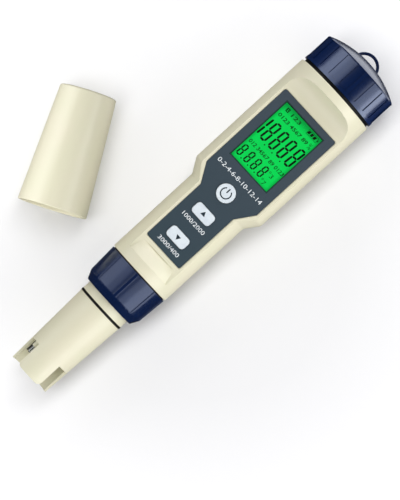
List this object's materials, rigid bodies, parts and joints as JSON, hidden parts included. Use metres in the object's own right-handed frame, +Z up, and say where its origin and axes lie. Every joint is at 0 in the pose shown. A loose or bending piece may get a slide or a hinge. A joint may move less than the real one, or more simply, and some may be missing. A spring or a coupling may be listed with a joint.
{
  "type": "water quality tester",
  "caption": "Handheld pen-style water quality tester with a display, press keys, a screw-on battery cap, a slotted probe and its loose probe cap.",
  "frame": {"origin": "centre of the flat rest face on the back of the wide part, under the tester's axis", "axes": "+X along the tester from the probe tip to the battery cap; +Z up, out of the display; +Y to the left seen from above with +X up the page"},
  "size_m": [0.1883, 0.0967, 0.038],
  "materials": {
    "ivory_plastic": "fine matt moulded",
    "navy_plastic": "satin moulded",
    "overlay_film": "matt printed film",
    "clear_window": "clear, polished",
    "display_glass": "backlit green",
    "key_plastic": "satin",
    "black_rubber": "matt",
    "grey_silicone": "matt",
    "white_plastic": "satin",
    "black_plastic": "matt",
    "circuit_board": "solder mask",
    "chip_plastic": "matt",
    "steel": "polished",
    "nickel": "plated",
    "gold": "plated",
    "clear_glass": "blown",
    "ceramic": "porous",
    "ribbon_film": "film"
  },
  "bodies": {
    "main_unit": {"housing": "ivory_plastic", "panel_overlay": "overlay_film", "lcd_window": "clear_window", "lcd_glass": "display_glass", "lcd_frame": "white_plastic", "backlight_plate": "white_plastic", "zebra_connectors": "grey_silicone", "main_board": "circuit_board", "board_components": "chip_plastic", "tact_switches": "black_plastic", "key_mat": "grey_silicone", "key_tray": "black_plastic", "battery_bay": "black_plastic", "bay_contacts": "nickel", "cap_gasket": "black_rubber", "collar_gasket": "black_rubber", "probe_socket": "black_plastic", "probe_ribbon": "ribbon_film"},
    "power_button": {"power_key": "key_plastic", "power_switch_plunger": "white_plastic"},
    "up_button": {"up_key": "key_plastic", "up_switch_plunger": "white_plastic"},
    "down_button": {"down_key": "key_plastic", "down_switch_plunger": "white_plastic"},
    "cartridge": {"battery_cartridge": "white_plastic", "battery_cells": "steel", "cell_contacts": "nickel"},
    "cap": {"battery_cap": "navy_plastic"},
    "probe_module": {"probe_body": "ivory_plastic", "probe_contact_pins": "gold", "probe_o_ring": "black_rubber", "module_o_ring": "black_rubber", "probe_sleeve": "ivory_plastic", "sensor_carrier": "ivory_plastic", "glass_bulb": "clear_glass", "conductivity_pins": "steel", "temperature_probe": "steel", "reference_rod": "black_plastic", "reference_junction": "ceramic"},
    "collar": {"collar_nut": "navy_plastic"},
    "storage_cap": {"protective_cap": "ivory_plastic"}
  },
  "joints": [
    {"name": "power_press", "type": "slide", "parent": "main_unit", "child": "power_button", "axis": [0, 0, -1], "range_m": [0, 0.0004], "stiffness_N_per_m": 600, "springref_m": -0.001},
    {"name": "up_press", "type": "slide", "parent": "main_unit", "child": "up_button", "axis": [0, 0, -1], "range_m": [0, 0.0004], "stiffness_N_per_m": 600, "springref_m": -0.001},
    {"name": "down_press", "type": "slide", "parent": "main_unit", "child": "down_button", "axis": [0, 0, -1], "range_m": [0, 0.0004], "stiffness_N_per_m": 600, "springref_m": -0.001},
    {"name": "cartridge_slide", "type": "slide", "parent": "main_unit", "child": "cartridge", "axis": [1, 0, 0], "range_m": [0, 0.0075]},
    {"name": "cap_unscrew", "type": "hinge", "parent": "cartridge", "child": "cap", "pos_m": [0.04, 0, 0.0189], "axis": [1, 0, 0], "range_deg": [0, 900]},
    {"name": "module_slide", "type": "slide", "parent": "main_unit", "child": "probe_module", "axis": [-1, 0, 0], "range_m": [0, 0.0075]},
    {"name": "collar_unscrew", "type": "hinge", "parent": "probe_module", "child": "collar", "pos_m": [-0.086, 0, 0.0189], "axis": [-1, 0, 0], "range_deg": [0, 1080]},
    {"name": "storage_cap_lift", "type": "slide", "parent": "main_unit", "child": "storage_cap", "axis": [0, 0, 1], "range_m": [0, 0.06]}
  ],
  "couplings": [
    {"joint": "cap_unscrew", "follows": "cartridge_slide", "rad_per_m": 2094.4},
    {"joint": "collar_unscrew", "follows": "module_slide", "rad_per_m": 2513.3}
  ]
}
